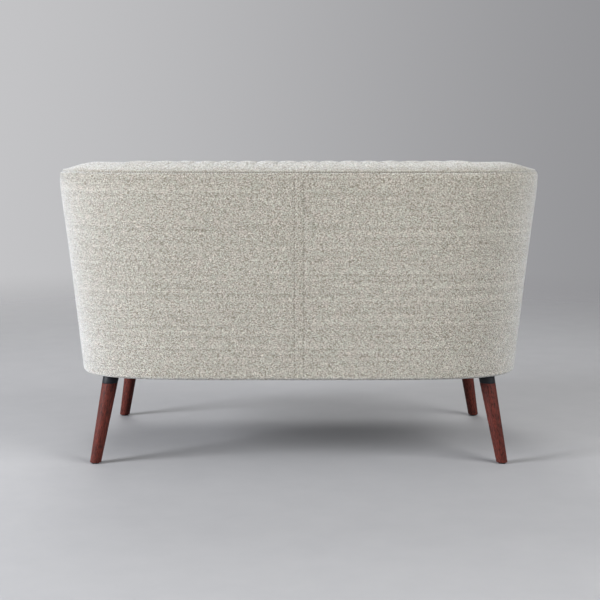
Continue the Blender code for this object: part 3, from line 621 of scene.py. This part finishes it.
def stuff(piece, held, cap):
    """Blow a sewn cover up from inside by simulation; a point that isn't held moves as far as cap."""
    start = mesh_places(piece.data)
    sewn = piece.vertex_groups.new(name="sewn")
    for index, hold in enumerate(held):
        sewn.add([index], float(hold), "REPLACE")
    cloth = piece.modifiers.new("cloth", "CLOTH")
    cloth.settings.vertex_group_mass = sewn.name
    cloth.settings.use_pressure = True
    cloth.settings.uniform_pressure_force = PRESSURE
    cloth.settings.effector_weights.gravity = 0.0
    cloth.point_cache.frame_end = CLOTH_FRAMES
    for number in range(1, CLOTH_FRAMES + 1):
        bpy.context.scene.frame_set(number)
    move = mesh_places(piece.evaluated_get(bpy.context.evaluated_depsgraph_get()).data) - start
    piece.modifiers.remove(cloth)
    piece.vertex_groups.remove(sewn)
    bpy.context.scene.frame_set(1)
    length = np.linalg.norm(move, axis=1, keepdims=True)
    move = move * np.minimum(1.0, cap / np.maximum(length, MERGE))
    piece.data.vertices.foreach_set("co", (start + move).ravel())
    piece.data.update()


def lower_edge():
    """Depths and heights where the fabric turns in under the base, from the outside to the hem."""
    under = np.linspace(LOWER_EDGE, HEM, HEM_POINTS)[1:]
    depth = np.append(LOWER_EDGE * (1 - np.cos(LOWER_TURNS)), under)
    height = np.append(LOWER_EDGE * (1 - np.sin(LOWER_TURNS)), np.zeros(len(under)))
    return depth, FABRIC_BOTTOM + height


def fabric_face(angle, top, rows):
    """Depths and heights of stretched fabric: from inside its top seam, down and in under the base."""
    below, above, count = rows
    edge_depth, edge_height = lower_edge()
    face = np.linspace(top - below, edge_height[0] + above, count)
    height = np.concatenate(([top], top - SEAM_STEPS, face, edge_height))
    depth = np.concatenate((
        [SEAM_TUCK], groove(SEAM_STEPS, angle), groove(top - face, angle), edge_depth,
    ))
    return depth, height


def lined(depth, height, every):
    """Close a section of fabric with its inner side, which has every so many points of its face."""
    inner = slice(None, None, -every)
    return (
        np.concatenate((depth, depth[inner] + COVER)),
        np.concatenate((height, np.maximum(height[inner] - MERGE, FABRIC_BOTTOM + COVER))),
    )


def topstitch_dip(x):
    """How far the back's fabric draws in along the rows of stitches each side of its middle seam."""
    rows = zip(TOPSTITCH_X, TOPSTITCH_DIP)
    return sum(dip * math.exp(-(((x - row) / TOPSTITCH_WIDTH) ** 2)) for row, dip in rows)


def cover_section(angle, top):
    """Outside fabric at one angle, drawn in by its seams and a little hollow along the sides."""
    depth, height = fabric_face(angle, top, BACK_FACE)
    share = np.clip((height - BODY_BOTTOM) / BACK_RISE, 0, 1)
    depth = depth + sideways(angle) * SIDE_HOLLOW * np.sin(math.pi * share) ** 2 + seam_draw(angle, height)
    if abs(angle - 90) < TOPSTITCH_REACH:
        dip = topstitch_dip(plan(angle, SEAM, 0.0)[0])
        depth = depth + dip * smooth_step((top - height) / TOPSTITCH_FADE)
    return lined(depth, height, BACK_LINING)


def end_fold(angle):
    """How far fabric is turned in at its end beside the front edge of a wing."""
    past = min(abs(angle - edge) for edge in (WING_END, 180 - WING_END, -180 - WING_END))
    if past < AT_EDGE:
        return FOLD_IN
    return FOLD_ROUND * (1 - math.sqrt(1 - max(0.0, 1 - past / FOLD_ANGLE) ** 2))


def outside_fabric(material):
    """Fabric over the outside of the back and sides, in two halves sewn together down the middle."""
    close = np.degrees(np.arctan2(CORNER_REACH, MIDDLE_STRIP))
    turned_in = WING_END + np.array(FOLD_STEPS)
    between = even_angles(WING_END + FOLD_CLEAR, close[0], FABRIC_COLUMN)[:-1]
    right = np.concatenate((turned_in, between, close))
    for side, angles in (("right", right), ("left", 180 - right[::-1])):
        loops = []
        for angle in angles:
            depth, height = cover_section(angle, rim(angle) - FIT)
            loops.append(plan(angle, height, depth + end_fold(angle)))
        name = f"outside_fabric_{side}"
        piece = keep(name, loft(loops), material, "upholstery_fabric", f"outside_cover_{side}")


def front_fabric(material):
    """Fabric over the front rail, from under the seat to in under the base."""
    turned_in = WING_END - np.array(FOLD_STEPS)
    ends = (-180 - WING_END, WING_END)
    between = even_angles(ends[0] + FOLD_CLEAR, ends[1] - FOLD_CLEAR, FABRIC_COLUMN)
    loops = []
    for angle in np.concatenate((-180 - turned_in, between, turned_in[::-1])):
        face = fabric_face(angle, SEAT_BOTTOM - FIT, FRONT_FACE)
        depth, height = lined(*face, FRONT_LINING)
        loops.append(plan(angle, height, depth + end_fold(angle)))
    piece = keep("front_rail_fabric", loft(loops), material, "upholstery_fabric", "front_rail_cover")


def add_stitch(form, size, place, ahead, outward):
    """One stitch of thread at a place, lying along ahead on a surface that faces outward."""
    ahead = ahead.normalized()
    outward = outward.normalized()
    turn = Matrix((ahead, outward.cross(ahead), outward)).transposed().to_4x4()
    place = Matrix.Translation(place) @ turn @ Matrix.Diagonal(size).to_4x4()
    stitch = bmesh.new()
    bmesh.ops.create_uvsphere(stitch, u_segments=8, v_segments=5, radius=1.0, matrix=place)
    add_to(form, stitch)


def stitches(material):
    """Thread that shows: a row each side of the back's middle seam, and in the seam along the top."""
    thread = bmesh.new()
    for x, dip in zip(TOPSTITCH_X, TOPSTITCH_DIP):
        angle = math.degrees(math.atan2(CORNER_REACH, x))
        for height in np.arange(FABRIC_BOTTOM + TOPSTITCH_START, SEAM - TOPSTITCH_END, TOPSTITCH_PITCH):
            place = Vector(plan(angle, height, dip + seam_draw(angle, height)))
            up = Vector((0.0, BACK_LEAN, BACK_RISE))
            add_stitch(thread, TOPSTITCH, place, up, Vector((0.0, BACK_RISE, -BACK_LEAN)))
    for angle in even_angles(SEAM_STITCH_START, 180 - SEAM_STITCH_START, SEAM_STITCH_PITCH):
        height = rim(angle)
        depth = groove(0.0, angle) + seam_draw(angle, height)
        place = Vector(plan(angle, height, depth))
        ahead = Vector(plan(angle + NEXT_ANGLE, rim(angle + NEXT_ANGLE), depth)) - place
        add_stitch(thread, SEAM_STITCH, place, ahead, ahead.cross(Vector((0.0, 0.0, 1.0))))
    keep("stitches", thread, material, "upholstery_fabric")


def channel_valley(index):
    """Sideways place of a valley on the roll, counted from the middle; a fraction lies between two."""
    fan = (abs(index) / (CHANNELS / 2)) ** CHANNEL_FAN_POWER
    return CHANNEL_PITCH * index + CHANNEL_FAN * math.copysign(fan, index)


def channel_columns():
    """Angles across the channels from right to left, each with the shares of a full puff and seam there."""
    columns = []
    half_width, reach = HALF_WIDTH_TOP - ROLL_DEPTH, CORNER_REACH - ROLL_DEPTH
    places = 0.5 - 0.5 * np.cos(np.linspace(0, math.pi, CHANNEL_STEPS + 1))
    for channel in range(CHANNELS):
        for place in places[:-1] if channel < CHANNELS - 1 else places:
            index = channel + place - CHANNELS / 2
            x = channel_valley(index)
            along = reach * (1 - abs(x / half_width) ** SQUARENESS) ** (1 / SQUARENESS)
            angle = math.degrees(math.atan2(along, -x))
            puff = abs(math.sin(math.pi * place)) ** CHANNEL_FULLNESS
            from_valley = CHANNEL_PITCH * min(place, 1 - place)
            seam = math.exp(-((from_valley / VALLEY_WIDTH) ** 2))
            columns.append((angle, puff, seam))
    return columns


def frame_share(angle):
    """0 where the pad lies on a wing's panel and 1 where it lies on the back's webs."""
    return smooth_step((fold(angle) - WING_THICK_END) / (WING_JOINT - WING_THICK_END))


def inside_section(angle, puff, filled, valley):
    """Inside back at one angle: from inside the top seam, over the roll and down behind the seat.

    puff is how far a full channel stands out there, filled the share of it that the front has,
    and valley the share of a seam between two channels.
    """
    seam = rim(angle) + FIT
    crown = crown_rise(angle) - FIT + puff * CHANNEL_AT_ROLL
    puff = puff * filled - valley * VALLEY_SEAM
    low = seam - ROLL_FALL
    face = inside_thickness(angle, low) + puff
    power = 2 / (ROLL_ROUND + (ROLL_FLAT - ROLL_ROUND) * back_share(angle))
    drawn_in = seam_draw(angle, rim(angle))
    rise_depth = ROLL_DEPTH - (ROLL_DEPTH - drawn_in) * np.clip(np.cos(ROLL_RISE), 0, 1) ** power
    rise_height = seam + crown * np.sin(ROLL_RISE) ** power
    rise_depth = rise_depth + groove(rise_height - seam, angle)
    fall_depth = ROLL_DEPTH + (face - ROLL_DEPTH) * np.sin(ROLL_DOWN)
    fall_height = low + (ROLL_FALL + crown) * np.cos(ROLL_DOWN)
    down = np.linspace(low, TUCK, FACE_ROWS)
    down_depth = inside_thickness(angle, down) + puff
    depth = np.concatenate(([drawn_in + SEAM_TUCK], rise_depth, fall_depth, down_depth))
    height = np.concatenate(([seam], rise_height, fall_height, down))
    frame_depth = WING_FRAME + (BACK_FRAME - WING_FRAME) * frame_share(angle)
    over = seam - FRAME_DROP
    inner = np.linspace(TUCK, over, FRAME_ROWS)
    across = np.linspace(frame_depth, drawn_in + SEAM_TUCK, FRAME_POINTS)[1:]
    return (
        np.concatenate((depth, np.full(len(inner), frame_depth), across)),
        np.concatenate((height, inner, np.full(len(across), over))),
    )


def inside_hold(puff, points):
    """How firmly each point of the inside back's section is held: free on its front, sewn elsewhere."""
    share = np.arange(points) / points
    begins = smooth_step((share - FREE_START[0]) / FREE_START[1])
    ends = smooth_step((FREE_END[0] - share) / FREE_END[1])
    return 1 - begins * ends * smooth_step(puff / FREE_PUFF)


def channelled_back(material):
    """Inside back and wings in one sewn pad, stuffed in channels across the back."""
    channels = channel_columns()
    first, last = channels[0][0], channels[-1][0]
    edges = (WING_END + JOINT_ANGLE, 180 - WING_END - JOINT_ANGLE)
    right = [(angle, 0.0, 0.0) for angle in even_angles(edges[0], first, PAD_COLUMN)[:-1]]
    left = [(angle, 0.0, 0.0) for angle in even_angles(last, edges[1], PAD_COLUMN)[1:]]
    filled = CHANNEL_START
    loops = []
    pins = []
    for angle, puff, seam in right + channels + left:
        depth, height = inside_section(angle, puff * CHANNEL_DEPTH, filled, seam)
        loops.append(plan(angle, height, depth))
        pins.append(inside_hold(puff, len(depth)))
    nodes = ("channelled_inside_back", "back_foam")
    piece = keep("channelled_back_pad", loft(loops, pins), material, "upholstery_fabric", *nodes)
    held = np.empty(len(piece.data.vertices), dtype=np.float32)
    piece.data.attributes["held"].data.foreach_get("value", held)
    stuff(piece, held, CHANNEL_SWELL)
    piece.data.attributes.remove(piece.data.attributes["held"])


def seat_depth(angle, height):
    """Depth of the seat's edge where it lies inside the back and the wings and on their roll's foot."""
    face = inside_thickness(angle, height) + CHANNEL_DEPTH * back_share(angle)
    rolled = np.clip((height - rim(angle) + ROLL_FALL) / (ROLL_FALL + crown_rise(angle)), 0, 1)
    return ROLL_DEPTH + (face - ROLL_DEPTH) * np.sqrt(1 - rolled**2) + SEAT_GAP


def corner_angles(start, end, count):
    """Angles from start to end that crowd together where the outline turns its corners."""
    angles = np.linspace(start, end, CORNER_TRIALS * count)
    across = np.cos(np.radians(angles)) / HALF_WIDTH_BOTTOM
    along = np.sin(np.radians(angles)) / CORNER_REACH
    power = SQUARENESS / 2
    turned_across = np.sign(across) * np.abs(across) ** power
    turned_along = np.sign(along) * np.abs(along) ** power
    turns = np.unwrap(np.arctan2(turned_along, turned_across))
    run = (turns - turns[0]) / (turns[-1] - turns[0]) + np.linspace(0, SEAT_EVENNESS, len(turns))
    return np.interp(np.linspace(run[0], run[-1], count), run, angles)


def seat_loop(height, inset, scale=1.0, points=SEAT_POINTS):
    """Outline of the T-shaped seat at one height: full width in front of the wings, inside them behind."""
    ends = (-180 - WING_END + 2 * JOINT_ANGLE, WING_END - 2 * JOINT_ANGLE)
    front = corner_angles(*ends, points)
    from_end = np.minimum(front - ends[0], ends[1] - front)
    ear = smooth_step(1 - from_end / EAR_SPREAD) if scale < 1 else 0.0
    rear = corner_angles(ends[1], ends[0] + 360, points)
    loop = np.concatenate((
        plan(front, height, inset + ear * seat_depth(front, height)),
        plan(rear, height, inset * SEAT_REAR_EDGE + seat_depth(rear, height)),
    ))
    middle = np.array((0.0, (loop[points // 2, 1] + loop[-points // 2, 1]) / 2, height))
    return middle + (loop - middle) * scale


def seat_seam(points):
    """The seam round the seat's top edge, as many points as asked along its front and along its rear."""
    inset = SEAT_SLACK + SEAT_EDGE * (1 - math.cos(SEAT_SEAM_TURN))
    return seat_loop(SEAT_TOP - SEAT_EDGE * (1 - math.sin(SEAT_SEAM_TURN)), inset, points=points)


def distances(places, line):
    """How far each place is from a line of close points."""
    tree = kdtree.KDTree(len(line))
    for index, point in enumerate(line):
        tree.insert(point, index)
    tree.balance()
    return np.array([tree.find(place)[2] for place in places])


def stuff_seat(piece):
    """Even out the seat's mesh, blow it up where nothing presses on it, and sew the seam round its top."""
    even = piece.modifiers.new("even", "REMESH")
    even.mode = "VOXEL"
    even.voxel_size = SEAT_VOXEL
    mesh = bpy.data.meshes.new_from_object(piece.evaluated_get(bpy.context.evaluated_depsgraph_get()))
    piece.modifiers.clear()
    seam = seat_seam(SEAT_SEAM_POINTS)
    form = bmesh.new()
    form.from_mesh(mesh)
    near = distances([vert.co for vert in form.verts], seam) < 2 * SEAT_VOXEL
    close = [edge for edge in form.edges if all(near[vert.index] for vert in edge.verts)]
    bmesh.ops.subdivide_edges(form, edges=close, cuts=2, use_grid_fill=True)
    form.to_mesh(mesh)
    form.free()
    mesh.shade_smooth()
    mesh.materials.clear()
    mesh.materials.append(piece.data.materials[0])
    piece.data = mesh
    places = mesh_places(mesh)
    from_seam = distances(places, seam)
    from_back = distances(places * (1, 1, 0), seam[len(seam) // 2 :] * (1, 1, 0))
    low = smooth_step((SEAT_TOP - SEAT_EDGE - places[:, 2]) / (SEAT_THICK - SEAT_EDGE) * SEAT_SIDE_HOLD)
    beside = smooth_step((SEAT_PRESSED - from_back) / SEAT_PRESSED_FADE)
    at_seam = np.exp(-((from_seam / SEAT_SEAM_WIDTH) ** 2))
    stuff(piece, np.maximum.reduce((low, beside, at_seam * SEAT_SEAM_HOLD)), SEAT_SWELL)
    normals = np.empty(3 * len(mesh.vertices), dtype=np.float32)
    mesh.vertices.foreach_get("normal", normals)
    sunk = mesh_places(mesh) - normals.reshape(-1, 3) * (SEAT_SEAM * at_seam)[:, None]
    mesh.vertices.foreach_set("co", sunk.ravel())
    mesh.update()
    smooth = piece.modifiers.new("smooth", "SUBSURF")
    smooth.levels = smooth.render_levels = 1


def seat_cushion(material):
    """T-shaped seat cushion: drawn-in sides, a seam round its top edge and a crowned top."""
    small = SEAT_SLACK
    loops = []
    for share in np.linspace(0, 1, SEAT_LEVELS):
        height = SEAT_BOTTOM + (SEAT_THICK - SEAT_EDGE) * share
        loops.append(seat_loop(height, small * share + SEAT_DRAW * (1 - math.sin(math.pi / 2 * share))))
    for turn in SEAT_TURNS:
        inset = small + SEAT_EDGE * (1 - math.cos(turn))
        loops.append(seat_loop(SEAT_TOP - SEAT_EDGE * (1 - math.sin(turn)), inset))
    for scale in SEAT_RINGS:
        loops.append(seat_loop(SEAT_TOP + SEAT_CROWN * (1 - scale**2), small + SEAT_EDGE, scale))
    nodes = ("seat_cover", "seat_foam", "deck_pad")
    piece = keep("seat_cushion", loft(loops), material, "upholstery_fabric", *nodes)
    stuff_seat(piece)


def leg_places():
    """Name of each leg, and its place: +1 is right and rear."""
    for side, side_name in ((1, "right"), (-1, "left")):
        for end, end_name in ((1, "rear"), (-1, "front")):
            yield f"{end_name}_{side_name}", side, end


def leg_stand(side, end):
    """From a leg's own upright axis, standing on its foot, to its place under the body."""
    top_y = REAR_BOTTOM - LEG_INSET_Y if end > 0 else LEG_INSET_Y - FRONT_REACH
    top = Vector((side * (HALF_WIDTH_BOTTOM - LEG_INSET_X), top_y, BODY_BOTTOM))
    axis = Vector((-side * SPLAY.x, -end * SPLAY.y, 1.0))
    lean = axis.to_track_quat("Z", "Y").to_matrix().to_4x4()
    return Matrix.Translation(top - axis * BODY_BOTTOM) @ lean


def leg_radius(along):
    """Radius of the tapered leg at a distance up its axis."""
    return LEG_FOOT_RADIUS + (LEG_TOP_RADIUS - LEG_FOOT_RADIUS) * along / (BODY_BOTTOM * SPLAY.length)


def ease(form, width):
    """Round the sharp edges of a form."""
    edges = [edge for edge in form.edges if len(edge.link_faces) == 2 and edge.calc_face_angle() > SHARP]
    bmesh.ops.bevel(form, geom=edges, offset=width, affect="EDGES", segments=3, profile=0.5, material=-1)


def turned(low, high, stand):
    """A turned cone along a leg's axis, cut level at two heights above the floor, with eased edges."""
    start = low * SPLAY.length - LEG_TOP_RADIUS
    end = high * SPLAY.length + LEG_TOP_RADIUS
    form = bmesh.new()
    bmesh.ops.create_cone(
        form, cap_ends=True, segments=LEG_SIDES, radius1=leg_radius(start), radius2=leg_radius(end),
        depth=end - start, matrix=Matrix.Translation((0, 0, (start + end) / 2)),
    )
    up = stand.to_3x3().inverted() @ Vector((0, 0, 1))
    for height, above in ((low, True), (high, False)):
        parts = form.verts[:] + form.edges[:] + form.faces[:]
        bmesh.ops.bisect_plane(
            form, geom=parts, plane_co=(0, 0, height * SPLAY.length), plane_no=up,
            clear_inner=above, clear_outer=not above,
        )
        bmesh.ops.holes_fill(form, edges=form.edges, sides=0)
    ease(form, LEG_EASE)
    return form


def legs(wood, black):
    """Tapered legs with their collars and foot glides."""
    for name, side, end in leg_places():
        stand = leg_stand(side, end)
        joint = BODY_BOTTOM - COLLAR_HEIGHT
        leg = turned(GLIDE_HEIGHT + FIT, joint, stand)
        grain = leg.verts.layers.float_vector.new("grain")
        for vert in leg.verts:
            vert[grain] = vert.co + Vector((GRAIN_SHIFT * side, GRAIN_SHIFT * end, 0.0))
        bmesh.ops.transform(leg, matrix=stand, verts=leg.verts)
        keep(f"turned_leg_{name}", leg, wood, "leg_wood", f"leg_{name}")
        collar = turned(joint + FIT, BODY_BOTTOM, stand)
        bmesh.ops.transform(collar, matrix=stand, verts=collar.verts)
        keep(f"collar_{name}", collar, black, "black_plastic", f"leg_collar_{name}")
        glide = bmesh.new()
        middle = Matrix.Translation((stand.translation.x, stand.translation.y, GLIDE_HEIGHT / 2))
        bmesh.ops.create_cone(
            glide, cap_ends=True, segments=GLIDE_SIDES, radius1=GLIDE_RADIUS - GLIDE_HEIGHT / 2,
            radius2=GLIDE_RADIUS, depth=GLIDE_HEIGHT, matrix=middle,
        )
        ease(glide, GLIDE_EASE)
        keep(f"glide_{name}", glide, black, "black_plastic", f"foot_glide_{name}")


def dust_cloth(material):
    """Thin cloth under the base, stapled round its edge and a little slack in the middle."""
    edge = plan(DUST_ANGLES, BODY_BOTTOM, DUST_EDGE)
    middle = np.array((0.0, LOW_MIDDLE, 0.0))
    loops = []
    for share in DUST_RINGS:
        loop = middle + (edge - middle) * share
        loop[:, 2] = FABRIC_BOTTOM - DUST_DROP - DUST_SAG * smooth_step((DUST_SLACK - share) / DUST_SLACK)
        loops.append(loop)
    upper = [loop + np.array((0.0, 0.0, DUST_THICK)) for loop in loops]
    piece = keep("dust_cloth", loft(loops[::-1] + upper), material, "dust_cloth", "dust_cover")


def staples(material):
    """Staples that hold the dust cloth's edge to the rails."""
    crowns = bmesh.new()
    outside = plan(HALF_DEGREES, BODY_BOTTOM, 0.0)
    length = np.linalg.norm(np.diff(outside, axis=0), axis=1).sum()
    for angle in even_angles(0.0, 360.0, length / STAPLES)[:-1]:
        place = Vector(plan(angle, BODY_BOTTOM, STAPLE_DEPTH))
        ahead = Vector(plan(angle + STAPLE_AHEAD, BODY_BOTTOM, STAPLE_DEPTH)) - place
        turn = Matrix.Rotation(math.atan2(ahead.y, ahead.x), 4, "Z")
        place.z = FABRIC_BOTTOM - STAPLE_DROP
        crown = bmesh.new()
        bmesh.ops.create_cube(crown, size=2.0, matrix=Matrix.Diagonal(STAPLE).to_4x4())
        ease(crown, STAPLE_EASE)
        bmesh.ops.transform(crown, matrix=Matrix.Translation(place) @ turn, verts=crown.verts)
        add_to(crowns, crown)
    keep("dust_cloth_staples", crowns, material, "zinc_steel")


def main():
    """Set up the studio, mix the finishes, dress the frame and finish the solids that still show."""
    camera()
    studio()
    floor()
    fabric = boucle("oatmeal_boucle", (0.0, 0.0, 1.0), ("#ebecdd", "#f3e9dd"), "#847b69")
    # The same cloth with painted shade for the pieces that catch more light from above: darker yarn, and
    # paler pits that flatten the loops as bright light does
    pad_fabric_painted_shade = boucle("oatmeal_boucle_pad_painted_shade", (0.0, 0.0, 1.0), ("#dddecf", "#e4dbcf"), "#989080")
    # The seat's copy of the same cloth, with the same painted shade
    seat_fabric_painted_shade = boucle("oatmeal_boucle_seat_painted_shade", (0.0, 1.0, 1.0), ("#dddecf", "#e4dbcf"), "#989080")
    beech = stained_beech()
    # Moulded nylon: blue-black, satin, with a fine spark-eroded grain
    black = grained(
        "black_nylon", 0.55, 0.0016, "#0d0f13", "#15171c", bump=0.15, relief=0.0002,
        Specular_IOR_Level=0.25,
    )
    # Zinc-plated steel: bluish grey, with the soft cloudiness of the bath
    steel = grained("zinc_plated_steel", 0.38, 0.006, "#9a9ca0", "#bcbec0", bump=0.05, Metallic=1.0)
    # Birch plywood: pale, with long fine grain
    plywood = grained("birch_plywood", 0.62, 0.004, "#b08d60", "#d2b488", stretch=(0.08, 1.0, 1.0))
    # Hardboard: pressed brown fibre, flecked
    hardboard = grained("hardboard", 0.78, 0.0025, "#5b4330", "#7c6048", bump=0.3)
    # Polyether foam: cream, with small open cells
    foam = grained("polyether_foam", 0.95, 0.0018, "#d8cda4", "#efe6c4", bump=0.6, relief=0.0008)
    # Needled felt: mixed grey waste fibre
    felt = grained("needled_felt", 0.95, 0.003, "#4c4c4e", "#8a8988", bump=0.5)
    # Elastic webbing: black rubber core wrapped in polypropylene
    webbing = grained(
        "elastic_webbing", 0.75, 0.002, "#1b1b1c", "#333336", stretch=(1.0, 1.0, 0.2), bump=0.4,
    )
    # Spunbond dust cloth: black, thin, with melted points
    dust = grained("spunbond_cloth", 0.88, 0.0022, "#141415", "#242426", bump=0.35)
    # Bonded polyester thread: twisted, a shade darker than the fabric
    thread = grained(
        "polyester_thread", 0.7, 0.0012, "#645d4f", "#857d6d", stretch=(1.0, 1.0, 0.5), bump=0.4,
    )
    finishes = {
        "upholstery_fabric": fabric, "leg_wood": beech, "black_plastic": black, "zinc_steel": steel,
        "frame_wood": plywood, "fibreboard": hardboard, "foam": foam, "felt": felt,
        "webbing": webbing, "dust_cloth": dust,
    }
    outside_fabric(fabric)
    stitches(thread)
    # The front rail and the back pad take the copy with painted shade
    front_fabric(pad_fabric_painted_shade)
    channelled_back(pad_fabric_painted_shade)
    seat_cushion(seat_fabric_painted_shade)
    legs(beech, black)
    dust_cloth(dust)
    staples(steel)
    for row in frame["record"]["subparts"]:
        node = frame["nodes"][row["node"]]
        node.data.materials.clear()
        node.data.materials.append(finishes[row["material_slot"]])


main()
